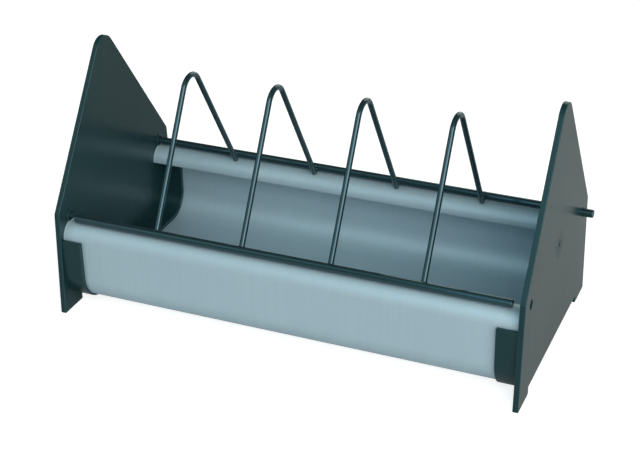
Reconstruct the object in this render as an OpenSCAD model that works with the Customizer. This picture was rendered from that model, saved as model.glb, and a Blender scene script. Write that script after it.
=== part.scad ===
// Pigeon feeder: an aluminium trough between two moulded end plates, with a
// welded wire grid that lifts about its rear rod. Millimetres, X along the
// trough, front towards -Y, Z up from the surface the feet stand on.

/* [Overall] */
// Length over the outer faces of the two end plates
feeder_l = 300; // [250:5:360]

/* [Trough] */
// Width of the trough over its two straight walls
trough_w = 136; // [120:1:160]
// Height of the trough from its floor to the crown of the rolled lips
trough_h = 53.4; // [46:0.2:70]
// Thickness of the aluminium sheet
sheet_t = 1; // [0.8:0.1:1.4]
// Outer radius of the bend between wall and floor
trough_corner_r = 18; // [12:0.5:22]
// Outer radius of the lip that is rolled inward along each wall
lip_r = 9.5; // [7:0.5:12]

/* [End plates] */
// Thickness of the plate
plate_t = 3.5; // [2.5:0.1:5]
// Height of the rounded peak above the floor
peak_h = 160.5; // [140:0.5:190]
// Radius of the rounded peak
peak_r = 10.5; // [4:0.5:14]
// Height of the shoulders above the centres of the rod holes
shoulder_rise = 5.3; // [5:0.1:12]
// Plate left standing outside the band, at the top of the band
edge_margin = 1; // [0.5:0.1:4]
// Lean of the front and rear edges away from upright, in degrees
side_lean = 3.8; // [0:0.2:6]
// Length of each foot, front to back
foot_l = 21; // [12:1:30]
// Height of each foot below the bottom edge of the plate
foot_h = 5; // [3.5:0.1:8]
// Chamfer at the bottom corners of each foot
foot_chamfer = 0.8; // [0.4:0.1:1.5]

/* [Bands that hold the trough] */
// Reach of the outer band along the trough
band_l = 13; // [8:0.5:20]
// Thickness of the outer band beside the walls
band_t = 2.6; // [1.8:0.1:3.5]
// Thickness of the outer band under the floor
band_floor_t = 1.5; // [1.2:0.1:2.5]
// How much rounder the outer band is than an even wall round the bend would be
band_corner_extra = 1.3; // [0:0.1:2]
// Reach of the inner liner along the trough
liner_l = 12.2; // [8:0.1:20]
// Thickness of the liner inside the trough
liner_t = 2.5; // [1.8:0.1:3.5]
// Clearance on each side of the sheet in its slot
slot_gap = 0.1; // [0.05:0.05:0.2]

/* [Rod holes] */
// Clearance round a rod in its hole, and between the pivot rod and the lip below it
rod_gap = 0.4; // [0.25:0.05:0.5]
// Wall of the ring raised round each hole on the inner face
boss_wall = 1.2; // [0.8:0.1:1.8]
// Height of that ring above the inner face
boss_h = 0.8; // [0.4:0.1:1.2]

/* [Wire grid] */
// Diameter of the pivot rod and of the front rod
rod_d = 5.2; // [4.4:0.1:5.6]
// Length of pivot rod that stands out past each end plate
rod_proud = 6.8; // [5.5:0.1:12]
// How far the front rod rests in front of the crown of its lip
front_rod_lead = 3; // [0:0.1:4]
// Gap between each end of the front rod and the plate beside it
rod_end_gap = 6.2; // [6:0.1:12]
// Chamfer at the ends of both rods
rod_chamfer = 0.5; // [0.2:0.1:0.8]
// Diameter of the hairpin wire
wire_d = 3.5; // [2.4:0.1:4]
// Distance from one hairpin to the next
hairpin_pitch = 57.5; // [45:0.5:60]
// Height of the hairpin tops above the centres of the rods
hairpin_h = 82; // [70:1:90]
// Radius of the bend at the hairpin top, along the middle of the wire
bend_r = 11.3; // [6:0.1:14]
// Length of wire past each rear weld; the front legs end at theirs, clear of the lip
nub_l = 0.8; // [0.4:0.1:1]
// Chamfer at the ends of the wire
wire_chamfer = 0.4; // [0.2:0.1:0.6]
// Gap between the wire and each rod where the weld bridges them
weld_gap = 0.2; // [0.15:0.05:0.3]

/* [Moulding mark] */
// Diameter of the dimple left by the moulding gate on the outer face
gate_d = 3; // [2:0.5:5]
// Depth of that dimple
gate_depth = 0.5; // [0.2:0.1:0.8]
// Height of the dimple above the centres of the rod holes
gate_rise = 7.6; // [4:0.2:20]

/* [Hidden] */
$fn = 96;

hairpin_n = 4;
bend_overlap = 1;
overrun = plate_t;

plate_green = [0.20, 0.28, 0.29];
rod_green = [0.14, 0.22, 0.24];
satin_aluminium = [0.62, 0.70, 0.74];

trough_l = feeder_l - 2 * plate_t;
trough_z = foot_h + band_floor_t + slot_gap;
lip_y = trough_w / 2 - lip_r;
lip_z = trough_z + trough_h - lip_r;
crown_z = trough_z + trough_h;

hole_d = rod_d + 2 * rod_gap;
boss_d = hole_d + 2 * boss_wall;
rod_y = lip_y;
rod_z = crown_z + hole_d / 2;
front_rod_y = -lip_y - front_rod_lead;
pivot_rod_l = feeder_l + 2 * rod_proud;
front_rod_l = trough_l - 2 * rod_end_gap;

band_y = trough_w / 2 + slot_gap + band_t;
band_corner_r = trough_corner_r + slot_gap + band_t + band_corner_extra;
shoulder_z = rod_z + shoulder_rise;
edge_y = band_y + edge_margin;
shoulder_y = edge_y - (shoulder_z - lip_z) * tan(side_lean);
foot_y = edge_y + lip_z * tan(side_lean);

peak_z = peak_h - peak_r;
peak_run = norm([shoulder_y, peak_z - shoulder_z]);
slope_turn = atan2(shoulder_y, peak_z - shoulder_z) - asin(peak_r / peak_run);
peak_touch = [peak_r * cos(slope_turn), peak_z + peak_r * sin(slope_turn)];

wire_r = wire_d / 2;
grid_y = (rod_y + front_rod_y) / 2;
rod_run = (rod_y - front_rod_y) / 2;
bend_z = hairpin_h - wire_r - bend_r;
weld_reach = rod_d / 2 + weld_gap + wire_r;
leg_run = norm([rod_run, bend_z]);
leg_angle = atan2(bend_z, rod_run) + asin((bend_r + weld_reach) / leg_run);
front_leg_l = sqrt(pow(leg_run, 2) - pow(bend_r + weld_reach, 2));
rear_leg_l = front_leg_l + nub_l;

// Puts a Y-Z outline at x0 and extrudes it towards +X
module along_x(x0, length) {
    translate([x0, 0, 0])
        rotate([90, 0, 90])
            linear_extrude(length)
                children();
}

// Solid U with a flat floor at floor_z, rounded lower corners and an open top
module u_fill(width, floor_z, corner_r, top_z) {
    translate([-width / 2, floor_z + corner_r])
        square([width, top_z - floor_z - corner_r]);
    translate([corner_r - width / 2, floor_z])
        square([width - 2 * corner_r, corner_r]);
    for (side = [-1, 1])
        translate([side * (width / 2 - corner_r), floor_z + corner_r])
            circle(corner_r);
}

// Section of the trough: a U of sheet whose walls roll inward into lips
module trough_section() {
    difference() {
        u_fill(trough_w, trough_z, trough_corner_r, lip_z);
        u_fill(trough_w - 2 * sheet_t, trough_z + sheet_t, trough_corner_r - sheet_t,
               lip_z + overrun);
    }
    for (side = [-1, 1])
        translate([side * lip_y, lip_z])
            intersection() {
                difference() {
                    circle(lip_r);
                    circle(lip_r - sheet_t);
                }
                translate([-lip_r, 0])
                    square([2 * lip_r, lip_r]);
            }
}

module trough() {
    color(satin_aluminium)
        along_x(-trough_l / 2, trough_l)
            trough_section();
}

// House outline of an end plate, with its two feet and rounded peak
module plate_outline() {
    foot_in = foot_y - foot_l;
    foot_lean = foot_chamfer * tan(side_lean);
    half = [[foot_in, foot_h], [foot_in, foot_chamfer], [foot_in + foot_chamfer, 0],
            [foot_y - foot_chamfer, 0], [foot_y - foot_lean, foot_chamfer],
            [shoulder_y, shoulder_z], peak_touch];
    mirrored = [for (i = [len(half) - 1 : -1 : 0]) [-half[i][0], half[i][1]]];
    polygon(concat(half, mirrored));
    translate([0, peak_z])
        circle(peak_r);
}

// Section of the band outside the trough
module band_section() {
    difference() {
        u_fill(2 * band_y, trough_z - slot_gap - band_floor_t, band_corner_r, lip_z);
        u_fill(trough_w + 2 * slot_gap, trough_z - slot_gap, trough_corner_r + slot_gap,
               lip_z + overrun);
    }
}

// Section of the liner inside the trough
module liner_section() {
    inner_w = trough_w - 2 * (sheet_t + slot_gap);
    inner_z = trough_z + sheet_t + slot_gap;
    inner_r = trough_corner_r - sheet_t - slot_gap;
    difference() {
        u_fill(inner_w, inner_z, inner_r, lip_z);
        u_fill(inner_w - 2 * liner_t, inner_z + liner_t, inner_r - liner_t, lip_z + overrun);
    }
}

// Ring round a rod hole, cut flat where the lip of the trough ends below it
module boss_section(y) {
    intersection() {
        translate([y, rod_z])
            circle(boss_d / 2);
        translate([y - boss_d / 2, crown_z + slot_gap])
            square(boss_d);
    }
}

// One end plate with its outer face at +X; the other one is its mirror image
module end_plate() {
    outer_x = feeder_l / 2;
    inner_x = outer_x - plate_t;
    color(plate_green)
        difference() {
            union() {
                along_x(inner_x, plate_t)
                    plate_outline();
                along_x(inner_x - band_l, band_l)
                    band_section();
                along_x(inner_x - liner_l, liner_l)
                    liner_section();
                for (side = [-1, 1])
                    along_x(inner_x - boss_h, boss_h)
                        boss_section(side * rod_y);
            }
            for (side = [-1, 1])
                translate([inner_x - overrun, side * rod_y, rod_z])
                    rotate([0, 90, 0])
                        cylinder(h = plate_t + 2 * overrun, d = hole_d);
            translate([outer_x - gate_depth, 0, rod_z + gate_rise])
                rotate([0, 90, 0])
                    cylinder(h = 2 * gate_depth, d1 = 0, d2 = 2 * gate_d);
        }
}

module left_end_plate() {
    mirror([1, 0, 0])
        end_plate();
}

module right_end_plate() {
    end_plate();
}

// Round bar along +Z from the origin, chamfered at its far end
module bar(diameter, length, chamfer) {
    cylinder(h = length - chamfer, d = diameter);
    translate([0, 0, length - chamfer])
        cylinder(h = chamfer, d1 = diameter, d2 = diameter - 2 * chamfer);
}

// Rod of the grid along X, the same on both sides of the middle
module rod(length, y) {
    color(rod_green)
        translate([0, y, rod_z])
            for (side = [-1, 1])
                rotate([0, 90 * side, 0])
                    bar(rod_d, length / 2, rod_chamfer);
}

module pivot_rod() {
    rod(pivot_rod_l, rod_y);
}

module front_rod() {
    rod(front_rod_l, front_rod_y);
}

// One bent wire: two legs that run from the welds up to a round bend. Each leg
// brings its half of the bend, and the halves overlap a little at the top
module hairpin(x) {
    color(rod_green)
        translate([x, grid_y, rod_z + bend_z])
            rotate([90, 0, 90])
                for (leg = [[0, rear_leg_l], [180, front_leg_l]])
                    rotate([0, leg[0], 0])
                        rotate([0, 0, 90 - leg_angle]) {
                            rotate_extrude(angle = leg_angle + bend_overlap)
                                translate([bend_r, 0])
                                    circle(wire_r);
                            translate([bend_r, 0, 0])
                                rotate([90, 0, 0])
                                    bar(wire_d, leg[1], wire_chamfer);
                        }
}

trough();
left_end_plate();
right_end_plate();
pivot_rod();
front_rod();
for (i = [1 : hairpin_n])
    hairpin((i - (hairpin_n + 1) / 2) * hairpin_pitch);
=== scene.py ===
# %% [markdown]
# A pigeon feeder: an aluminium trough between two moulded end plates, under a
# wire grid that lifts about its rear rod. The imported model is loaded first. It
# fixes every size and place, so the surfaces below only have to follow it.

# %% Load the frame
import math

import bpy
import numpy as np
from mathutils import Matrix, Vector
from mathutils.geometry import tessellate_polygon


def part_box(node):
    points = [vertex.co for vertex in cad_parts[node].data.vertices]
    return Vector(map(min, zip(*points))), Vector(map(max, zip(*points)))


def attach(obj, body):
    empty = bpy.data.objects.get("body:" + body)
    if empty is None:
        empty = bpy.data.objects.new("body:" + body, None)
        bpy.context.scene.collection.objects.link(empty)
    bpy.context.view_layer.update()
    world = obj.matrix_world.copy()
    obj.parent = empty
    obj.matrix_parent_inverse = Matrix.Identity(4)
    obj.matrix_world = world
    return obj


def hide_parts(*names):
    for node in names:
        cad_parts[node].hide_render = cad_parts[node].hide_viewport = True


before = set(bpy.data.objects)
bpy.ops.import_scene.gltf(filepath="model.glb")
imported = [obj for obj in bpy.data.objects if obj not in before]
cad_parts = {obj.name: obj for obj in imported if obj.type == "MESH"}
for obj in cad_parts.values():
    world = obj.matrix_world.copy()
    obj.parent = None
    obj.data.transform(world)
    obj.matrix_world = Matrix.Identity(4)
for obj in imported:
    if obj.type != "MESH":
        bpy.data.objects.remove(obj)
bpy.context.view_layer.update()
scene = bpy.context.scene
mm = 0.001

# %% [markdown]
# The camera stands to the right of the feeder's front and looks down at it. Its
# place was solved from the corners of the plates and the lines of the rods, so
# it is given by the point that it looks at, two angles, a small roll and a
# distance. A long lens keeps the far plate nearly as large as the near one.

# %% Camera
aim = Vector((-1.92, 0.0, 54.18)) * mm
azimuth, elevation, roll = (math.radians(a) for a in (23.34, 28.43, -1.14))
distance = 924.4 * mm
lens_mm, sensor_mm = 83.22, 36.0

toward_camera = Vector((
    math.sin(azimuth) * math.cos(elevation),
    -math.cos(azimuth) * math.cos(elevation),
    math.sin(elevation)))
level_right = Vector((0, 0, 1)).cross(toward_camera).normalized()
level_up = toward_camera.cross(level_right)
right = math.cos(roll) * level_right + math.sin(roll) * level_up
up = math.cos(roll) * level_up - math.sin(roll) * level_right

camera_data = bpy.data.cameras.new("camera")
camera_data.lens = lens_mm
camera_data.sensor_width = sensor_mm
camera_data.clip_start, camera_data.clip_end = 0.01, 50.0
camera = bpy.data.objects.new("camera", camera_data)
turn = Matrix((right, up, toward_camera)).transposed().to_4x4()
camera.matrix_world = Matrix.Translation(aim + toward_camera * distance) @ turn
scene.collection.objects.link(camera)
scene.camera = camera
print("the camera stands at", tuple(camera.matrix_world.translation))

# %% [markdown]
# Sizes come next. They could be typed in, but then a change to the model would
# leave the surfaces behind. So those that the model can give are measured on its
# pieces, and only the sheet, the radii and the bands keep the drawing's values.

# %% Sizes from the frame
trough_low, trough_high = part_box("trough")
plate_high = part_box("right_end_plate")[1]
pivot_low, pivot_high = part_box("pivot_rod")
front_low, front_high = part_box("front_rod")
wire_low, wire_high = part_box("hairpin_1")

trough_l = trough_high.x - trough_low.x
trough_w = trough_high.y - trough_low.y
trough_z = trough_low.z
crown_z = trough_high.z
outer_x = plate_high.x
plate_t = outer_x - trough_high.x
inner_x = outer_x - plate_t
foot_y = plate_high.y
peak_h = plate_high.z
rod_r = (pivot_high.z - pivot_low.z) / 2
rod_y = (pivot_high.y + pivot_low.y) / 2
rod_z = (pivot_high.z + pivot_low.z) / 2
front_rod_y = (front_high.y + front_low.y) / 2
wire_r = (wire_high.x - wire_low.x) / 2
hairpin_top = wire_high.z

sheet_t = 1.0 * mm
corner_r = 18.0 * mm
lip_r = 9.5 * mm
lip_y = trough_w / 2 - lip_r
lip_z = crown_z - lip_r
slot_gap = 0.1 * mm
print("rods", rod_r, "at", rod_y, front_rod_y, rod_z, "wire", wire_r, "plate", plate_t)

# %% [markdown]
# Every new surface is a grid of points that a formula places. Blender can work
# out smooth normals by itself, but it averages them over the faces, and a flat
# stretch beside a bend is then shaded as if it were curved. So each point keeps
# the normal that its formula gives. A piece may be several closed shells, which
# are collected and joined.

# %% Shells: points, normals and faces that become one mesh
class Shells:
    """Closed shells gathered into one mesh, with a normal and a rim value at each point.

    The rim value is 0 on plain surfaces and rises to 1 along rounded edges."""

    def __init__(self):
        self.points, self.normals, self.rims, self.faces = [], [], [], []
        self.count = 0

    def add(self, points, normals, faces, rims=None):
        """Adds points with their normals, and faces that count from the first of them."""
        points = np.asarray(points, float).reshape(-1, 3)
        self.points.append(points)
        self.normals.append(np.asarray(normals, float).reshape(-1, 3))
        self.rims.append(np.zeros(len(points)) if rims is None else np.ravel(rims))
        for block in faces:
            self.faces.extend((np.asarray(block, int) + self.count).tolist())
        self.count += len(points)

    def add_tube(self, points, normals, rims=None):
        """Adds rings of points as a closed tube; its first and last rings are one point each."""
        rows, columns = points.shape[:2]
        keep = np.ones((rows, columns), bool)
        keep[0, 1:] = keep[-1, 1:] = False
        index = np.cumsum(keep).reshape(rows, columns) - 1
        index[0], index[-1] = 0, index[-1, 0]
        quads = index.ravel()[grid_faces(rows, columns)].reshape(rows - 1, columns, 4)
        faces = [quads[0][:, [0, 2, 3]], quads[1:-1].reshape(-1, 4), quads[-1][:, :3]]
        rims = np.zeros(rows * columns) if rims is None else np.ravel(rims)
        rims = rims.reshape(rows, columns)
        self.add(points[keep], normals[keep], faces, rims[keep])

    def build(self, name, mirror=False):
        """Makes the object; a mirrored one has x and its normals turned and its faces reversed."""
        side = np.array([-1.0, 1.0, 1.0]) if mirror else np.ones(3)
        points = np.concatenate(self.points) * side
        normals = np.concatenate(self.normals) * side
        normals /= np.linalg.norm(normals, axis=1, keepdims=True)
        faces = [face[::-1] for face in self.faces] if mirror else self.faces
        mesh = bpy.data.meshes.new(name)
        mesh.from_pydata(points.tolist(), [], faces)
        mesh.polygons.foreach_set("use_smooth", [True] * len(faces))
        rim = mesh.attributes.new("rim", "FLOAT", "POINT")
        rim.data.foreach_set("value", np.concatenate(self.rims))
        mesh.update()
        mesh.normals_split_custom_set_from_vertices(normals.tolist())
        made = bpy.data.objects.new(name, mesh)
        scene.collection.objects.link(made)
        print(name, len(points), "points", len(faces), "faces")
        return made


def grid_faces(rows, columns):
    """Quads of a grid stored row by row, whose last column joins the first."""
    across = np.arange(columns)
    row = np.arange(rows - 1)[:, None] * columns
    beside = (across + 1) % columns
    quads = np.stack([row + across, row + beside, row + columns + beside,
                      row + columns + across], axis=-1)
    return quads.reshape(-1, 4)


print("a closed grid of 3 rows and 4 columns has", len(grid_faces(3, 4)), "faces")

# %% [markdown]
# The end plates and their bands are flat shapes with rounded corners. A bevel
# could round them, but it knows one width for all, and here each corner has its
# own radius. So a corner is cut back along both edges by its radius times the
# tangent of half its turn, and an arc joins the two cuts.

# %% Rounded outlines
def rounded(corners, radii, steps):
    """Closed outline (y, z) with an arc at each corner, and its outward normals.

    Each arc's centre lies one radius inside the edge before it, or outside at a
    hollow corner, and its points are the centre plus the radius times a normal
    that turns evenly from edge to edge."""
    corners = np.asarray(corners, float)
    radii = np.asarray(radii, float)[:, None, None]
    before = corners - np.roll(corners, 1, axis=0)
    before /= np.linalg.norm(before, axis=1, keepdims=True)
    after = np.roll(before, -1, axis=0)
    cross = before[:, 0] * after[:, 1] - before[:, 1] * after[:, 0]
    bend = np.arctan2(cross, np.sum(before * after, axis=1))
    outward = np.stack([before[:, 1], -before[:, 0]], axis=1)
    angle = bend[:, None] * np.linspace(0, 1, steps)
    cos, sin = np.cos(angle), np.sin(angle)
    normals = np.stack([outward[:, :1] * cos - outward[:, 1:] * sin,
                        outward[:, :1] * sin + outward[:, 1:] * cos], axis=-1)
    sign = np.sign(bend)[:, None, None]
    setback = radii * np.tan(np.abs(bend) / 2)[:, None, None]
    start = corners[:, None, :] - before[:, None, :] * setback
    centres = start - sign * radii * outward[:, None, :]
    points = centres + sign * radii * normals
    return points.reshape(-1, 2), normals.reshape(-1, 2)


def round_hole(centre, radius, steps=48):
    """Circle that runs clockwise, so its normals point into the hole, away from the material."""
    angle = -np.linspace(0, 2 * np.pi, steps, endpoint=False)
    spoke = np.stack([np.cos(angle), np.sin(angle)], axis=1)
    return np.asarray(centre) + radius * spoke, -spoke


square = [(0, 0), (1, 0), (1, 1), (0, 1)]
print("a square with 9 points a corner has", len(rounded(square, [0.2] * 4, 9)[0]), "points")

# %% [markdown]
# A moulded wall is a slab: an outline carried along X, whose edges turn through
# a quarter circle onto the two faces. Cutting the holes with a Boolean would
# leave ragged faces round them, so they are further outlines of the same slab,
# and the flat faces are filled with triangles that leave them open. The rim value
# marks the rounded edges, where the plastic is made paler, partly for handling
# wear and partly as a painted edge highlight.

# %% Slabs with rounded edges
edge_r = 0.45 * mm


def edge_rings(x_low, x_high, r_low, r_high, steps=5):
    """Inset, place along X, and share of the normal that points along X, for each ring.

    On a quarter circle the inset is the radius times one minus the cosine, and
    the place along X stands off the face by the radius times one minus the sine."""
    low, high = (np.radians(np.linspace(0, 90, steps if r > 0 else 1))
                 for r in (r_low, r_high))
    inset = np.concatenate([(r_low * (1 - np.cos(low)))[::-1], r_high * (1 - np.cos(high))])
    x = np.concatenate([(x_low + r_low * (1 - np.sin(low)))[::-1],
                        x_high - r_high * (1 - np.sin(high))])
    return inset, x, np.concatenate([-low[::-1], high])


def slab(shells, outline, holes, x_low, x_high, r_low, r_high, pit=None):
    """Adds a slab between two X faces, through the outline and round its holes.

    Ring k of a loop is the loop drawn in by that ring's inset, with the normal
    cos(lean) times the loop's own plus sin(lean) along X."""
    inset, x, lean = edge_rings(x_low, x_high, r_low, r_high)
    rims = np.sin(2 * np.abs(lean))
    first_ring, last_ring, loops, start = [], [], [], 0
    blocks, all_points, all_normals, all_rims = [], [], [], []
    for points, normals in [outline] + list(holes):
        n = len(points)
        plane = points[None] - inset[:, None, None] * normals[None]
        column = (len(x), n, 1)
        ring = np.concatenate([np.broadcast_to(x[:, None, None], column), plane], 2)
        tilt = np.concatenate([np.broadcast_to(np.sin(lean)[:, None, None], column),
                               np.cos(lean)[:, None, None] * normals[None]], 2)
        all_points.append(ring.reshape(-1, 3))
        all_normals.append(tilt.reshape(-1, 3))
        all_rims.append(np.repeat(rims, n))
        blocks.append(grid_faces(len(x), n) + start)
        first_ring.append(np.arange(n) + start)
        last_ring.append(np.arange(n) + start + (len(x) - 1) * n)
        loops.append(ring)
        start += len(x) * n
    high_index, high_loops = list(last_ring), [ring[-1] for ring in loops]
    if pit is not None:
        pit_points, pit_normals, pit_faces, mouth = pit
        all_points.append(pit_points)
        all_normals.append(pit_normals)
        all_rims.append(np.zeros(len(pit_points)))
        blocks.extend(block + start for block in pit_faces)
        high_index.append(mouth + start)
        high_loops.append(pit_points[mouth])
    points = np.concatenate(all_points)
    blocks.append(face_triangles(points, high_index, high_loops, 1.0))
    blocks.append(face_triangles(points, first_ring, [ring[0] for ring in loops], -1.0))
    shells.add(points, np.concatenate(all_normals), blocks, np.concatenate(all_rims))


def face_triangles(points, indices, loops, facing):
    """Triangles that fill a flat face between its loops, turned to face +X or -X."""
    flat = [[Vector((0.0, y, z)) for y, z in loop[:, 1:].tolist()] for loop in loops]
    index = np.concatenate(indices)
    triangles = index[np.array(tessellate_polygon(flat), int)]
    a, b, c = (points[triangles[:, k]] for k in range(3))
    wrong = np.cross(b - a, c - a)[:, 0] * facing < 0
    triangles[wrong] = triangles[wrong][:, ::-1]
    return triangles


print("a rounded edge is drawn in by", edge_rings(0.0, plate_t, edge_r, edge_r)[0])

# %% [markdown]
# The end plate's outline is a house with a rounded peak and two low feet, and
# its sides lean in slightly. It could be traced as a curve, but a few sizes say
# it better: the two slopes are the tangents from the shoulders to the circle of
# the peak, and they cross at the corner that this circle rounds off.

# %% End plate outline
foot_l = 21.0 * mm
foot_h = 5.0 * mm
foot_r = 0.8 * mm
instep_r, shoulder_r = 0.6 * mm, 1.0 * mm
peak_r = 10.5 * mm
side_lean = math.radians(3.8)
shoulder_rise = 5.3 * mm
shoulder_z = rod_z + shoulder_rise
shoulder_y = foot_y - shoulder_z * math.tan(side_lean)
peak_z = peak_h - peak_r
slope = (math.atan2(shoulder_y, peak_z - shoulder_z)
         - math.asin(peak_r / math.hypot(shoulder_y, peak_z - shoulder_z)))
apex_z = peak_z + peak_r / math.sin(slope)
foot_in = foot_y - foot_l
right_half = [(foot_in, foot_h), (foot_in, 0), (foot_y, 0), (shoulder_y, shoulder_z)]
left_half = [(-y, z) for y, z in reversed(right_half)]
plate_corners = right_half + [(0, apex_z)] + left_half
side_radii = [instep_r, foot_r, foot_r, shoulder_r]
plate_radii = side_radii + [peak_r] + side_radii[::-1]
print("apex", apex_z, "shoulder", shoulder_y, shoulder_z)

# %% [markdown]
# On the outer face the gate, where the plastic entered the mould, left a small
# crater with a broken-off stub in it. A bump in the material would fade when seen
# from the side, so it is real geometry: a profile turned round X, whose mouth is
# one more hole of the slab.

# %% Gate mark
gate_r, gate_depth, gate_rise = 1.5 * mm, 0.5 * mm, 7.6 * mm


def gate_pit(steps=32):
    """Crater with a broken-off stub in its middle: a profile of radius and depth, turned round X.

    Radii and depths are shares of the crater's, and each row has its normal's
    share along X and its share towards the middle."""
    radius = gate_r * np.array([1.0, 0.93, 0.6, 0.38, 0.34, 0.3, 0.0])
    depth = gate_depth * np.array([0.0, 0.06, 0.8, 1.0, 0.6, 0.42, 0.4])
    slope_x = np.array([1.0, 0.75, 0.8, 0.8, 0.2, 0.8, 1.0])
    inward = np.array([0.0, -0.66, -0.6, 0.0, 0.98, 0.6, 0.0])
    angle = np.linspace(0, 2 * np.pi, steps, endpoint=False)
    cos, sin = np.cos(angle), np.sin(angle)
    points = np.stack([outer_x - depth[:, None] + 0 * cos,
                       radius[:, None] * cos,
                       rod_z + gate_rise + radius[:, None] * sin], axis=-1).reshape(-1, 3)
    normals = np.stack([slope_x[:, None] + 0 * cos, inward[:, None] * cos,
                        inward[:, None] * sin], axis=-1).reshape(-1, 3)
    rows, around = len(radius) - 1, np.arange(steps)
    last, middle = (rows - 1) * steps, rows * steps
    fan = np.stack([last + around, last + (around + 1) % steps, 0 * around + middle], axis=1)
    faces = [grid_faces(rows, steps), fan]
    return points[:middle + 1], normals[:middle + 1], faces, around


print("the gate mark has", len(gate_pit()[0]), "points")

# %% [markdown]
# Two bands stand on the inner face of the plate: a U outside the trough and a
# liner inside it, with the sheet gripped between them. A bent strip would need
# thickening afterwards, so both are slabs too, their outlines being two rounded
# U lines joined at the top. Low rings strengthen the plate round the rod holes.
# They are turned profiles, cut flat where the lip of the trough passes.

# %% Bands, liners and rings
hole_gap = 0.4 * mm
hole_r = rod_r + hole_gap
boss_r, boss_h = hole_r + 1.2 * mm, 0.8 * mm
band_l, band_t, band_floor_t = 13.0 * mm, 2.6 * mm, 1.5 * mm
band_corner_extra = 1.3 * mm
liner_l, liner_t = 12.2 * mm, 2.5 * mm
sunk = 0.6 * mm
tip_r = 0.6 * mm
ring_edge_r = 0.25 * mm


def u_outline(outer_y, outer_z, outer_r, inner_y, inner_z, inner_r):
    """Outline between an outer and an inner U, both open at the top of the wall."""
    corners = [(-outer_y, lip_z), (-outer_y, outer_z), (outer_y, outer_z), (outer_y, lip_z),
               (inner_y, lip_z), (inner_y, inner_z), (-inner_y, inner_z), (-inner_y, lip_z)]
    radii = [tip_r, outer_r, outer_r, tip_r, tip_r, inner_r, inner_r, tip_r]
    return rounded(corners, radii, steps=17)


def ring(shells, centre, steps=64):
    """Raised ring round a hole: a profile of radius and height turned round X.

    Points that would fall below the crown of the trough's lip are lifted to it."""
    r = ring_edge_r
    turn = np.radians(np.linspace(0, 90, 5))
    radius = np.concatenate([[boss_r], boss_r - r * (1 - np.cos(turn)),
                             (hole_r + r * (1 - np.cos(turn)))[::-1], [hole_r]])
    height = np.concatenate([[-sunk], boss_h - r * (1 - np.sin(turn)),
                             (boss_h - r * (1 - np.sin(turn)))[::-1], [-sunk]])
    lean = np.concatenate([[0], turn, np.pi - turn[::-1], [np.pi]])
    angle = np.linspace(0, 2 * np.pi, steps, endpoint=False)
    cos, sin = np.cos(angle), np.sin(angle)
    z = centre[1] + radius[:, None] * sin
    points = np.stack([inner_x - height[:, None] + 0 * cos, centre[0] + radius[:, None] * cos,
                       np.maximum(z, crown_z + slot_gap)], axis=-1)
    normals = np.stack([-np.sin(lean)[:, None] + 0 * cos, np.cos(lean)[:, None] * cos,
                        np.cos(lean)[:, None] * sin], axis=-1)
    around = np.arange(steps)
    beside, last = (around + 1) % steps, (len(radius) - 1) * steps
    under = np.stack([around, last + around, last + beside, beside], axis=1)
    faces = [grid_faces(len(radius), steps)[:, ::-1], under[:, ::-1]]
    rims = np.sin(2 * np.minimum(lean, np.pi - lean))
    shells.add(points, normals, faces, np.repeat(rims, steps))


print("rod holes of radius", hole_r, "with rings of radius", boss_r, "and height", boss_h)

# %% [markdown]
# Both end plates come from the same mould and are turned round to face each
# other. Two sets of shells would have to be kept alike by hand, so one set is
# built twice, the second time mirrored. The wall, the band and the liner overlap
# a little inside, where no one sees it, and so they read as one moulding.

# %% End plates
plate = Shells()
rod_holes = [round_hole((side * rod_y, rod_z), hole_r) for side in (-1, 1)]
slab(plate, rounded(plate_corners, plate_radii, steps=13), rod_holes,
     inner_x, outer_x, edge_r, edge_r, pit=gate_pit())
band_y = trough_w / 2 + slot_gap + band_t
slot_y = trough_w / 2 + slot_gap
slot_z = trough_z - slot_gap
slot_r = corner_r + slot_gap
slab(plate, u_outline(band_y, slot_z - band_floor_t, slot_r + band_t + band_corner_extra,
                      slot_y, slot_z, slot_r),
     [], inner_x - band_l, inner_x + sunk, edge_r, 0.0)
liner_y = trough_w / 2 - sheet_t - slot_gap
liner_z = trough_z + sheet_t + slot_gap
liner_r = corner_r - sheet_t - slot_gap
slab(plate, u_outline(liner_y, liner_z, liner_r,
                      liner_y - liner_t, liner_z + liner_t, liner_r - liner_t),
     [], inner_x - liner_l, inner_x + sunk, edge_r, 0.0)
for side in (-1, 1):
    ring(plate, (side * rod_y, rod_z))
plates = {"right_end_plate": plate.build("right_plate_moulding"),
          "left_end_plate": plate.build("left_plate_moulding", mirror=True)}
for node, made in plates.items():
    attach(made, "base")
    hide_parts(node)

# %% [markdown]
# The trough is one sheet of aluminium, rolled through dies. A Solidify modifier
# could thicken a single surface, but it leaves the cut edges square. So the
# section is one closed loop. Its outer line is lip, wall, bend, floor, and the
# same again, its inner line lies one thickness inside, and the two cut edges are
# turned through half a circle, as a sheared edge that has been dressed looks.

# %% Trough
lip_steps, bend_steps, edge_steps, trough_stations = 49, 33, 7, 25
edge_skip = 15


def arc(centre, radius, start, stop, steps):
    """Points and outward normals of an arc: centre plus radius times (cos a, sin a)."""
    a = np.radians(np.linspace(start, stop, steps))
    normal = np.stack([np.cos(a), np.sin(a)], axis=1)
    return np.asarray(centre) + radius * normal, normal


def trough_line():
    """Outer line of the section from the front lip's free edge to the rear one's."""
    bend_y, bend_z = trough_w / 2 - corner_r, trough_z + corner_r
    parts = [arc((-lip_y, lip_z), lip_r, 0, 180, lip_steps),
             arc((-bend_y, bend_z), corner_r, 180, 270, bend_steps),
             arc((bend_y, bend_z), corner_r, 270, 360, bend_steps),
             arc((lip_y, lip_z), lip_r, 0, 180, lip_steps)]
    return [np.concatenate(column) for column in zip(*parts)]


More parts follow.
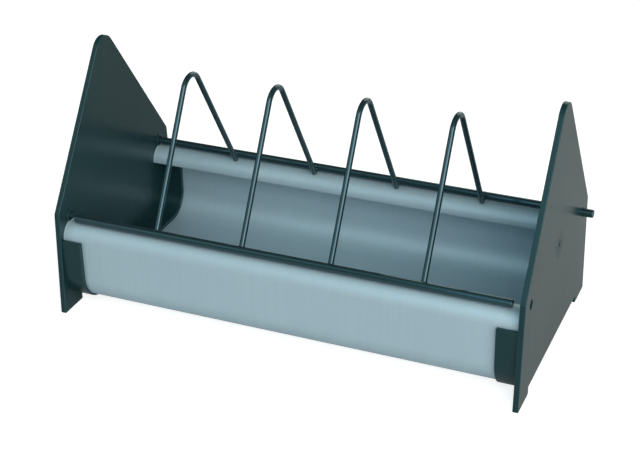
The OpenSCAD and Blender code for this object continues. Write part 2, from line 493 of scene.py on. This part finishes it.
def trough_section():
    """Closed loop round the sheet: its outer line, an edge, its inner line, an edge.

    An edge is half a circle of half the sheet's thickness round its middle. Its
    first and last few degrees are left to the lines that it joins."""
    line, normal = trough_line()
    half = sheet_t / 2
    turn = np.radians(np.linspace(edge_skip, 180 - edge_skip, edge_steps))[:, None]
    along = np.array([[0.0, -1.0]])
    tail_normal = np.cos(turn) * normal[-1] + np.sin(turn) * along
    tail = line[-1] - half * normal[-1] + half * tail_normal
    head_normal = -np.cos(turn) * normal[0] + np.sin(turn) * along
    head = line[0] - half * normal[0] + half * head_normal
    loop = np.concatenate([line, tail, (line - sheet_t * normal)[::-1], head])
    loop_normal = np.concatenate([normal, tail_normal, -normal[::-1], head_normal])
    return loop, loop_normal


def along_x(shells, loop, loop_normal, x_low, x_high, stations):
    """Carries a closed loop of the section along X and closes both ends with one face each."""
    x = np.linspace(x_low, x_high, stations)
    n = len(loop)
    points = np.empty((stations, n, 3))
    points[..., 0] = x[:, None]
    points[..., 1:] = loop
    normals = np.zeros_like(points)
    normals[..., 1:] = loop_normal
    ends = [np.arange(n)[None, ::-1], (np.arange(n) + (stations - 1) * n)[None]]
    shells.add(points, normals, [grid_faces(stations, n)] + ends)


sheet = Shells()
along_x(sheet, *trough_section(), -trough_l / 2, trough_l / 2, trough_stations)
trough = sheet.build("trough_sheet")
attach(trough, "base")
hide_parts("trough")

# %% [markdown]
# The rods are cut from straight bar and coated with the grid. A cylinder would
# do for the length, but its sharp ends would catch no light. So a rod is a
# profile of radius against length, turned round its axis, with a quarter circle
# at each end for the edge that the cutter and the coating leave soft.

# %% Rods
def turned_rod(name, low, high, soft=0.8 * mm, steps=40):
    """Rod along X between two box corners: flat ends, a quarter-circle edge, a straight run.

    Each ring's points are the axis plus its radius times (cos a, sin a)."""
    y, z = (low.y + high.y) / 2, (low.z + high.z) / 2
    radius = (high.z - low.z) / 2
    turn = np.radians(np.linspace(90, 0, 8))
    end_r = radius - soft * (1 - np.cos(turn))
    end_x = soft * (1 - np.sin(turn))
    r = np.concatenate([[0], end_r, end_r[::-1], [0]])
    x = np.concatenate([[low.x], low.x + end_x, high.x - end_x[::-1], [high.x]])
    lean = np.concatenate([[-np.pi / 2], -turn, turn[::-1], [np.pi / 2]])
    angle = np.linspace(0, 2 * np.pi, steps, endpoint=False)
    cos, sin = np.cos(angle), np.sin(angle)
    points = np.stack([x[:, None] + 0 * cos, y + r[:, None] * cos, z + r[:, None] * sin], -1)
    normals = np.stack([np.sin(lean)[:, None] + 0 * cos, np.cos(lean)[:, None] * cos,
                        np.cos(lean)[:, None] * sin], -1)
    shells = Shells()
    shells.add_tube(points, normals, np.repeat(np.sin(2 * np.abs(lean)), steps))
    return shells.build(name)


pivot = turned_rod("pivot_bar", pivot_low, pivot_high)
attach(pivot, "pivot")
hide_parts("pivot_rod")
rest_bar = turned_rod("front_bar", front_low, front_high)
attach(rest_bar, "grid")
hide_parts("front_rod")

# %% [markdown]
# Each hairpin is one wire: two straight legs and a round bend over the trough,
# welded to the inner side of both rods. The legs could be placed by eye, but what
# they touch fixes them: each leaves the circle of the bend on its outer side and
# passes the rod on its inner side, so its angle follows from the radii.

# %% Sizes of the hairpins
bend_r = 11.3 * mm
weld_gap = 0.2 * mm
nub_l = 0.8 * mm
end_r = 0.7 * mm
grid_y = (rod_y + front_rod_y) / 2
rod_run = (rod_y - front_rod_y) / 2
bend_z = hairpin_top - rod_z - wire_r - bend_r
reach = rod_r + weld_gap + wire_r
run = math.hypot(rod_run, bend_z)
leg_angle = math.atan2(bend_z, rod_run) + math.asin((bend_r + reach) / run)
leg_l = math.sqrt(run ** 2 - (bend_r + reach) ** 2)
print("leg angle", math.degrees(leg_angle), "leg length", leg_l)

# %% [markdown]
# A curve with a round bevel would give the wire, but not its ends. So a circle is
# carried along the wire's middle line, in the plane across it, and towards each
# cut end it shrinks along a quarter circle to a small flat face, as a cropped and
# coated wire has.

# %% Hairpins
def hairpin_line(steps_bend=33, steps_leg=12, steps_end=7):
    """Middle line in (y, z), its outward normals, the wire's radius, and its normals' lean.

    The bend is an arc round its centre, and each leg leaves it along the tangent.
    At a cut end the radius follows a quarter circle onto a small flat face."""
    angle = np.linspace(math.pi / 2 + leg_angle, math.pi / 2 - leg_angle, steps_bend)
    bend_n = np.stack([np.cos(angle), np.sin(angle)], axis=1)
    bend_p = np.array([grid_y, rod_z + bend_z]) + bend_r * bend_n
    turn = np.radians(np.linspace(0, 90, steps_end))[1:]
    shrinking = wire_r - end_r * (1 - np.cos(turn))
    r = np.concatenate([np.full(steps_leg - 1, wire_r), shrinking, [0]])
    lean = np.concatenate([np.zeros(steps_leg - 1), turn, [np.pi / 2]])
    legs = []
    for k, side, length in ((0, -1, leg_l), (-1, 1, leg_l + nub_l)):
        straight = length - end_r
        out = np.concatenate([np.linspace(0, straight, steps_leg)[1:],
                              straight + end_r * np.sin(turn), [length]])
        along = np.array([-bend_n[k][1], bend_n[k][0]]) * -side
        legs.append(bend_p[k] + out[:, None] * along)
    line = np.concatenate([legs[0][::-1], bend_p, legs[1]])
    normal = np.concatenate([np.repeat(bend_n[:1], len(r), 0), bend_n,
                             np.repeat(bend_n[-1:], len(r), 0)])
    radius = np.concatenate([r[::-1], np.full(steps_bend, wire_r), r])
    return line, normal, radius, np.concatenate([-lean[::-1], np.zeros(steps_bend), lean])


def hairpin(name, x, steps=28):
    """Tube of circles round the middle line: radius times (cos a, sin a) in its normal plane.

    A point's normal is cos(lean) times its spoke plus sin(lean) along the line."""
    line, normal, radius, lean = hairpin_line()
    along = np.stack([normal[:, 1], -normal[:, 0]], axis=1)
    angle = np.linspace(0, 2 * np.pi, steps, endpoint=False)
    cos, sin = np.cos(angle), np.sin(angle)
    spokes = np.stack([sin + 0 * radius[:, None], cos * normal[:, :1], cos * normal[:, 1:]],
                      axis=-1)
    along = np.concatenate([np.zeros((len(line), 1)), along], axis=1)[:, None]
    middle = np.concatenate([np.full((len(line), 1), x), line], axis=1)[:, None]
    lean = lean[:, None, None]
    shells = Shells()
    shells.add_tube(middle + radius[:, None, None] * spokes,
                    np.cos(lean) * spokes + np.sin(lean) * along)
    return shells.build(name)


hairpin_nodes = sorted(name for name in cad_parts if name.startswith("hairpin_"))
hairpin_places = [sum(corner.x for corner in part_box(name)) / 2 for name in hairpin_nodes]
grid_pieces = [rest_bar]
for node, x in zip(hairpin_nodes, hairpin_places):
    wire = hairpin(node.replace("hairpin", "bent_wire"), x)
    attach(wire, "grid")
    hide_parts(node)
    grid_pieces.append(wire)

# %% [markdown]
# The wires are resistance-welded to the rods and then coated, so each crossing
# is a smooth saddle with no seam. Two tubes that merely cross would show a hard
# line. The saddle is the smooth minimum of the distances to the rod and to the
# wire, so near the crossing the two surfaces melt into one. It is found along
# rays that leave the point where they meet.

# %% Weld saddles
def smooth_min(a, b, blend):
    """The smaller of two distances, rounded off where they differ by less than blend."""
    h = np.clip(0.5 + 0.5 * (b - a) / blend, 0, 1)
    return b * (1 - h) + a * h - blend * h * (1 - h)


def weld(shells, x, side, blend=1.7 * mm, skin=0.03 * mm, size=4.2 * mm,
         steps=(33, 56), samples=84):
    """Saddle at the crossing of a wire at x with the front (-1) or rear (1) rod.

    The wire is a cylinder with a soft edge at its cut end. Along each ray the
    distance field is sampled, and the surface lies at the first place where it
    turns positive, or at the edge of a small sphere. The skin keeps the saddle
    just inside both surfaces where it runs out on them."""
    toward_rod = np.array([0.0, side * math.sin(leg_angle), math.cos(leg_angle)])
    wire_way = np.array([0.0, side * math.cos(leg_angle), -math.sin(leg_angle)])
    rod_centre = np.array([x, grid_y + side * rod_run, rod_z])
    touch = rod_centre - toward_rod * (rod_r + weld_gap / 2)
    wire_centre = rod_centre - toward_rod * reach
    polar = np.linspace(0, np.pi, steps[0])[:, None]
    around = np.linspace(0, 2 * np.pi, steps[1], endpoint=False)[None]
    local = np.stack([np.sin(polar) * np.cos(around), np.sin(polar) * np.sin(around),
                      np.cos(polar) + 0 * around], axis=-1)
    basis = np.stack([[1.0, 0.0, 0.0], wire_way, toward_rod])
    rays = local @ basis
    far = np.linspace(0, size, samples + 1)[1:]
    at = touch + rays[:, :, None] * far[:, None]
    to_rod = np.hypot(at[..., 1] - rod_centre[1], at[..., 2] - rod_centre[2]) - rod_r + skin
    off = at - wire_centre
    past = off @ wire_way
    beside = np.linalg.norm(off - past[..., None] * wire_way, axis=-1)
    wire_end = nub_l if side > 0 else 0.0
    corner = np.hypot(np.maximum(beside - wire_r + end_r, 0),
                      np.maximum(past - wire_end + end_r, 0))
    inside = np.minimum(np.maximum(beside - wire_r, past - wire_end) + end_r, 0)
    to_wire = corner + inside - end_r + skin
    field = smooth_min(to_rod, to_wire, blend)
    field[..., -1] = 1.0
    k = np.argmax(field > 0, axis=-1)
    here = np.take_along_axis(field, k[..., None], -1)[..., 0]
    last = np.take_along_axis(field, np.maximum(k - 1, 0)[..., None], -1)[..., 0]
    step = far[1] - far[0]
    part = np.where((k < len(far) - 1) & (k > 0), here / (here - last), 0.0)
    radius = far[k] - step * part
    points = touch + rays * radius[..., None]
    down = np.gradient(points, axis=0)
    along = np.roll(points, -1, axis=1) - np.roll(points, 1, axis=1)
    normals = np.cross(along, down)
    flip = np.sum(normals * rays, axis=-1, keepdims=True) < 0
    normals = np.where(flip, -normals, normals)
    normals[0], normals[-1] = rays[0], rays[-1]
    right_handed = np.dot(np.cross(basis[0], basis[1]), basis[2]) > 0
    if right_handed:
        points, normals = points[::-1], normals[::-1]
    shells.add_tube(points, normals)


for side, name in ((-1, "front_welds"), (1, "rear_welds")):
    saddles = Shells()
    for x in hairpin_places:
        weld(saddles, x, side)
    made = saddles.build(name)
    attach(made, "grid")
    grid_pieces.append(made)

# %% [markdown]
# The materials are made of nodes. They could be laid out by hand in the editor,
# but a script has to build them anew each time, so short helpers add a node, set
# its inputs by name, and link those that are given another node's output.

# %% Node helpers
noise_low, noise_high = 0.3, 0.7


def put(tree, kind, **inputs):
    """Adds a node; an input that is an output socket is linked, any other is set."""
    made = tree.nodes.new(kind)
    for name, value in inputs.items():
        socket = made.inputs[name.replace("_", " ")]
        if isinstance(value, bpy.types.NodeSocket):
            tree.links.new(value, socket)
        else:
            socket.default_value = value
    return made


def noise(tree, where, scale, detail=2.0, rough=0.5):
    """Noise at so many waves per metre, as a value from 0 to 1."""
    return put(tree, "ShaderNodeTexNoise", Vector=where, Scale=scale, Detail=detail,
               Roughness=rough).outputs["Fac"]


def stretch(tree, where, factors):
    """Coordinates multiplied axis by axis, which draws a pattern out where the factor is small."""
    made = tree.nodes.new("ShaderNodeVectorMath")
    made.operation = "MULTIPLY"
    tree.links.new(where, made.inputs[0])
    made.inputs[1].default_value = factors
    return made.outputs[0]


def ramp(tree, value, low, high, out_low=0.0, out_high=1.0):
    """Value moved from one range to another and held inside it."""
    made = put(tree, "ShaderNodeMapRange", Value=value)
    for name, number in (("From Min", low), ("From Max", high), ("To Min", out_low),
                         ("To Max", out_high)):
        made.inputs[name].default_value = number
    return made.outputs["Result"]


def math_node(tree, operation, a, b):
    """The result of one operation on two values, either of which may be an output."""
    made = tree.nodes.new("ShaderNodeMath")
    made.operation = operation
    for socket, value in zip(made.inputs, (a, b)):
        if isinstance(value, bpy.types.NodeSocket):
            tree.links.new(value, socket)
        else:
            socket.default_value = value
    return made.outputs[0]


def plus(tree, value, extra, share):
    """The value plus a share of the extra one."""
    return math_node(tree, "ADD", value, math_node(tree, "MULTIPLY", extra, share))


def spread(tree, value, out_low=0.0, out_high=1.0):
    """Noise spread over a range: most of its values lie between the two set above."""
    return ramp(tree, value, noise_low, noise_high, out_low, out_high)


def from_middle(tree, where):
    """Distance from the feeder's middle along X."""
    along = put(tree, "ShaderNodeSeparateXYZ", Vector=where).outputs["X"]
    return math_node(tree, "ABSOLUTE", along, 0.0)


def tint(tree, value, first, second):
    """Colour that goes from the first to the second as the value goes from 0 to 1."""
    made = tree.nodes.new("ShaderNodeMix")
    made.data_type = "RGBA"
    tree.links.new(value, made.inputs["Factor"])
    for socket, colour in ((made.inputs[6], first), (made.inputs[7], second)):
        if isinstance(colour, bpy.types.NodeSocket):
            tree.links.new(colour, socket)
        else:
            socket.default_value = (*colour, 1.0)
    return made.outputs[2]


def rounded_edge_mask(tree):
    """The rim value that the mesh carries: 1 along rounded edges and 0 elsewhere."""
    made = tree.nodes.new("ShaderNodeAttribute")
    made.attribute_name = "rim"
    return made.outputs["Fac"]


def new_material(name):
    """Material with its tree, shader and the object's own coordinates."""
    made = bpy.data.materials.new(name)
    made.use_nodes = True
    tree = made.node_tree
    shader = tree.nodes["Principled BSDF"]
    where = tree.nodes.new("ShaderNodeTexCoord").outputs["Object"]
    return made, tree, shader, where


def bump(tree, shader, height, depth):
    """Raises the surface by a height from 0 to 1 times a depth in metres."""
    made = put(tree, "ShaderNodeBump", Height=height, Strength=1.0, Distance=depth)
    tree.links.new(made.outputs["Normal"], shader.inputs["Normal"])


def dress(pieces, skin):
    """Puts one material on several pieces."""
    for piece in pieces:
        piece.data.materials.append(skin)
    print(skin.name, "has", len(skin.node_tree.nodes), "nodes and is on", len(pieces), "pieces")


print("noise is spread from", noise_low, "to", noise_high)

# %% [markdown]
# Dust and light handling marks lie on every part. Copying the same nodes into
# each material would leave three places to change, so they are one node group
# with its own inputs. Fine specks come from small noise, and larger patches
# decide where they gather. The group puts out a mask for each of the two.

# %% Group: dust and handling
speck_waves, patch_waves = 900.0, 22.0


def dust_group():
    """Mask of specks and smudges: small noise kept only where large noise allows it."""
    group = bpy.data.node_groups.new("dust_and_handling", "ShaderNodeTree")
    face = group.interface
    face.new_socket("Vector", in_out="INPUT", socket_type="NodeSocketVector")
    for name, value in (("Speck Scale", speck_waves), ("Patch Scale", patch_waves),
                        ("Amount", 0.3)):
        made = face.new_socket(name, in_out="INPUT", socket_type="NodeSocketFloat")
        made.default_value = value
    for name in ("Specks", "Patches"):
        face.new_socket(name, in_out="OUTPUT", socket_type="NodeSocketFloat")
    source = group.nodes.new("NodeGroupInput").outputs
    sink = group.nodes.new("NodeGroupOutput").inputs
    specks = noise(group, source["Vector"], source["Speck Scale"], detail=3.0, rough=0.7)
    patches = noise(group, source["Vector"], source["Patch Scale"], detail=4.0, rough=0.6)
    patches = ramp(group, patches, 0.42, 0.68)
    specks = ramp(group, specks, 0.56, 0.74)
    shown = math_node(group, "MULTIPLY", specks, patches)
    group.links.new(math_node(group, "MULTIPLY", shown, source["Amount"]), sink["Specks"])
    group.links.new(math_node(group, "MULTIPLY", patches, source["Amount"]), sink["Patches"])
    return group


dust = dust_group()
print(dust.name, "has", len(dust.nodes), "nodes")


def add_dust(tree, where, amount):
    """Places the group in a material and returns its two masks."""
    made = tree.nodes.new("ShaderNodeGroup")
    made.node_tree = dust
    tree.links.new(where, made.inputs["Vector"])
    made.inputs["Amount"].default_value = amount
    return made.outputs["Specks"], made.outputs["Patches"]


# %% [markdown]
# The sheet is aluminium as it leaves the mill: grey, satin, with hair-fine lines
# in the direction in which it was rolled, which here runs round the section. A
# Wave texture would draw them too evenly, so they are noise that changes fast
# along X alone. They change the colour, the roughness and, very slightly, the
# height. The last millimetre at each end is painted brighter, as a painted
# highlight along the ends of the sheet. The skin of oxide and oil dulls the metal,
# so it is only partly metallic.

# %% Material: rolled aluminium
line_waves, cloud_waves, dent_waves = (900.0, 12.0, 12.0), 14.0, 20.0
sheet_dark, sheet_pale = (0.44, 0.565, 0.63), (0.48, 0.61, 0.675)
# The bright colour and the span near the ends that follow paint a highlight at both ends of the
# sheet.
sheet_cloud, sheet_highlight = (0.42, 0.53, 0.60), (0.62, 0.72, 0.78)
end_highlight_start, end_highlight_stop = trough_l / 2 - 1.6 * mm, trough_l / 2 - 0.5 * mm
cloud_share, end_highlight_share, sheet_patch_rough = 0.3, 0.6, 0.06
sheet_rough = (0.48, 0.56)
sheet_relief, line_relief_share = 0.05 * mm, 0.03


def aluminium():
    """Satin metal with rolling lines, a little cloudiness, duller patches and a painted highlight
    at the ends.

    The lines go from dark to pale, up to three tenths of the cloud colour is mixed
    in, and then the bright colour of the painted end highlight. Patches add to the roughness."""
    made, tree, shader, where = new_material("rolled_aluminium")
    lines = noise(tree, stretch(tree, where, line_waves), 1.0, detail=4.0, rough=0.7)
    clouds = noise(tree, where, cloud_waves, detail=3.0, rough=0.55)
    _, patches = add_dust(tree, where, 0.35)
    base = tint(tree, spread(tree, lines), sheet_dark, sheet_pale)
    base = tint(tree, ramp(tree, clouds, 0.35, 0.65, 0.0, cloud_share), base, sheet_cloud)
    # Painted highlight: the sheet is brightened over its last millimetre or so at each end.
    painted_end_highlight = ramp(tree, from_middle(tree, where), end_highlight_start, end_highlight_stop,
                    0.0, end_highlight_share)
    base = tint(tree, painted_end_highlight, base, sheet_highlight)
    tree.links.new(base, shader.inputs["Base Color"])
    rough = plus(tree, spread(tree, lines, *sheet_rough), patches, sheet_patch_rough)
    tree.links.new(rough, shader.inputs["Roughness"])
    shader.inputs["Metallic"].default_value = 0.4
    shader.inputs["Coat Weight"].default_value = 0.1
    shader.inputs["Coat Roughness"].default_value = 0.15
    dents = noise(tree, where, dent_waves, detail=1.0)
    bump(tree, shader, plus(tree, dents, lines, line_relief_share), sheet_relief)
    return made


dress([trough], aluminium())

# %% [markdown]
# The end plates are injection moulded in a dark slate green. Their skin has the
# fine grain that spark erosion leaves in a mould. An even colour would look like
# paint, so three things break it up. The plastic ran outwards from the gate, and
# the skin is duller and a little darker round it. Faint streaks of more and less
# gloss cross the plate. The rounded edges are paler, partly rubbed by handling and
# partly a painted edge highlight.

# %% Material: moulded plastic
grain_waves, streak_waves, blush_waves = 2600.0, (60.0, 160.0, 14.0), 250.0
plastic_dark, plastic_pale = (0.009, 0.033, 0.038), (0.011, 0.036, 0.041)
# The first colour is mixed into dust specks and into the rims, where it stands partly for wear and
# partly for a painted edge highlight.
plastic_dust_wear_highlight, plastic_blush = (0.035, 0.105, 0.125), (0.004, 0.010, 0.012)
rim_wear_highlight_share, speck_share, blush_share = 0.5, 0.12, 0.3
plastic_rough, plastic_patch_rough, blush_rough = (0.22, 0.24), 0.04, 0.14
blush_r = 7 * gate_r
grain_relief = 0.006 * mm


def gate_blush(tree, where):
    """1 at the gate and 0 a finger's width away on the outer face, broken up by noise."""
    apart = tree.nodes.new("ShaderNodeVectorMath")
    apart.operation = "DISTANCE"
    tree.links.new(stretch(tree, where, (0.0, 1.0, 1.0)), apart.inputs[0])
    apart.inputs[1].default_value = (0.0, 0.0, rod_z + gate_rise)
    near = ramp(tree, apart.outputs["Value"], gate_r, blush_r, 1.0, 0.0)
    outside = ramp(tree, from_middle(tree, where), inner_x + plate_t / 2, outer_x)
    broken = ramp(tree, noise(tree, where, blush_waves, detail=3.0), 0.3, 0.6)
    return math_node(tree, "MULTIPLY", math_node(tree, "MULTIPLY", near, outside), broken)


def plastic():
    """Dark semi-gloss plastic with mould grain, flow streaks and paler edges: wear and a painted
    highlight.

    Edges, partly rubbed and partly a painted highlight, and specks mix in the paler colour, then
    the blush its darker one.
    The roughness is the streaks' own, plus a little for patches and the blush."""
    made, tree, shader, where = new_material("moulded_plastic")
    grain = noise(tree, where, grain_waves, rough=0.6)
    streaks = noise(tree, stretch(tree, where, streak_waves), 1.0)
    specks, patches = add_dust(tree, where, 0.4)
    base = tint(tree, streaks, plastic_dark, plastic_pale)
    # Paler rims: partly handling wear and partly a painted edge highlight.
    rim_wear_and_highlight = math_node(tree, "MULTIPLY", rounded_edge_mask(tree), rim_wear_highlight_share)
    base = tint(tree, plus(tree, rim_wear_and_highlight, specks, speck_share), base, plastic_dust_wear_highlight)
    blush = gate_blush(tree, where)
    base = tint(tree, math_node(tree, "MULTIPLY", blush, blush_share), base, plastic_blush)
    tree.links.new(base, shader.inputs["Base Color"])
    rough = plus(tree, spread(tree, streaks, *plastic_rough), patches, plastic_patch_rough)
    tree.links.new(plus(tree, rough, blush, blush_rough), shader.inputs["Roughness"])
    shader.inputs["Specular IOR Level"].default_value = 0.3
    shader.inputs["Specular Tint"].default_value = (0.8, 1.0, 1.0, 1.0)
    bump(tree, shader, grain, grain_relief)
    return made


dress(plates.values(), plastic())

# %% [markdown]
# The grid is steel, coated in the same dark green. Powder coating flows as it
# cures and keeps a faint orange peel, which shows in its highlights. That is
# relief and not colour, so it is a bump. A higher index of refraction than the
# plastic's gives the wires their brighter line, and the ends are a little worn.

# %% Material: coated steel
peel_waves, shade_waves = 700.0, 60.0
coating_dark, coating_pale = (0.010, 0.026, 0.030), (0.014, 0.032, 0.036)
coating_worn, worn_share, worn_speck_share = (0.05, 0.12, 0.15), 0.35, 0.1
coating_rough = (0.08, 0.12)
peel_relief = 0.006 * mm


def coated():
    """Glossy dark coating with orange peel and slightly worn ends.

    Worn rims and specks mix in the paler colour, and patches add to the roughness."""
    made, tree, shader, where = new_material("coated_steel")
    peel = noise(tree, where, peel_waves)
    shade = noise(tree, where, shade_waves, detail=3.0, rough=0.6)
    specks, patches = add_dust(tree, where, 0.3)
    base = tint(tree, shade, coating_dark, coating_pale)
    worn = math_node(tree, "MULTIPLY", rounded_edge_mask(tree), worn_share)
    base = tint(tree, plus(tree, worn, specks, worn_speck_share), base, coating_worn)
    tree.links.new(base, shader.inputs["Base Color"])
    tree.links.new(ramp(tree, patches, 0.0, 0.3, *coating_rough), shader.inputs["Roughness"])
    shader.inputs["IOR"].default_value = 1.75
    shader.inputs["Specular Tint"].default_value = (0.5, 0.84, 1.0, 1.0)
    bump(tree, shader, peel, peel_relief)
    return made


dress(grid_pieces + [pivot], coated())

# %% [markdown]
# The feeder stands on a plain pale floor. More light would make it white, but the
# object too. So, where it is seen, the floor adds a glow of its own to what the
# lamps give it: it reads as white and still holds the shadow. In reflections the
# glow is weaker, because at full strength the plates would mirror it as a pale
# sheen that the dark plastic does not have.

# %% Floor
floor_grey, floor_glow, mirror_share, half_floor = 0.58, 0.80, 0.1, 8.0


def seen(tree):
    """1 for what the camera sees directly, a share of that in reflections, else 0."""
    path = tree.nodes.new("ShaderNodeLightPath").outputs
    mirrored = math_node(tree, "MAXIMUM", path["Is Glossy Ray"], path["Is Transmission Ray"])
    mirrored = math_node(tree, "MULTIPLY", mirrored, mirror_share)
    return math_node(tree, "MAXIMUM", path["Is Camera Ray"], mirrored)


def floor_material():
    """Pale floor that adds a glow of its own where it is seen."""
    made, tree, shader, _ = new_material("pale_floor")
    shader.inputs["Base Color"].default_value = (floor_grey, floor_grey, floor_grey, 1.0)
    shader.inputs["Roughness"].default_value = 0.9
    shader.inputs["Specular IOR Level"].default_value = 0.1
    shader.inputs["Emission Color"].default_value = (1.0, 1.0, 1.0, 1.0)
    glow = math_node(tree, "MULTIPLY", seen(tree), floor_glow)
    tree.links.new(glow, shader.inputs["Emission Strength"])
    return made


floor_mesh = bpy.data.meshes.new("floor")
floor_corners = [(x * half_floor, y * half_floor, 0.0)
                 for x, y in ((-1, -1), (1, -1), (1, 1), (-1, 1))]
floor_mesh.from_pydata(floor_corners, [], [(0, 1, 2, 3)])
floor = bpy.data.objects.new("floor", floor_mesh)
floor_mesh.materials.append(floor_material())
scene.collection.objects.link(floor)
print("the floor is", 2 * half_floor, "m wide")

# %% [markdown]
# The light is soft and broad, because a small lamp would put hard spots on the
# metal. The key stands to the right of the front, a cooler pair fills the front
# from nearer the camera and from above, and weak lamps on the left and behind
# keep the far sides readable. The sky is white for the camera and dim otherwise,
# so that it adds little light of its own.

# %% Lamps and sky
def lamp(name, place, size, watts, colour):
    """Square area lamp at a place, aimed at the feeder."""
    data = bpy.data.lights.new(name, "AREA")
    data.shape = "SQUARE"
    data.size = size
    data.energy = watts
    data.color = colour
    made = bpy.data.objects.new(name, data)
    made.location = place
    made.rotation_euler = (Vector(place) - aim).to_track_quat("Z", "Y").to_euler()
    scene.collection.objects.link(made)
    print("lamp", name, "of", watts, "W and", size, "m")


lamp("key", (1.7, -1.65, 1.25), 2.2, 60.0, (1.0, 0.98, 0.92))
lamp("front", (0.25, -1.75, 1.15), 1.5, 9.0, (0.55, 0.85, 1.0))
lamp("high", (-0.2, -0.9, 1.75), 1.6, 3.4, (0.5, 1.0, 1.0))
lamp("fill", (-1.35, -1.05, 1.0), 1.6, 5.0, (0.95, 0.98, 1.0))
lamp("back", (0.2, 1.8, 0.8), 1.6, 10.0, (0.92, 1.0, 0.92))

sky_dim, sky_white = 0.08, 1.0
world = bpy.data.worlds.new("sky")
scene.world = world
world.use_nodes = True
sky = world.node_tree.nodes["Background"]
sky_path = world.node_tree.nodes.new("ShaderNodeLightPath").outputs
sky.inputs["Color"].default_value = (1.0, 1.0, 1.0, 1.0)
sky_strength = ramp(world.node_tree, sky_path["Is Camera Ray"], 0.0, 1.0, sky_dim, sky_white)
world.node_tree.links.new(sky_strength, sky.inputs["Strength"])
scene.view_settings.view_transform = "Standard"
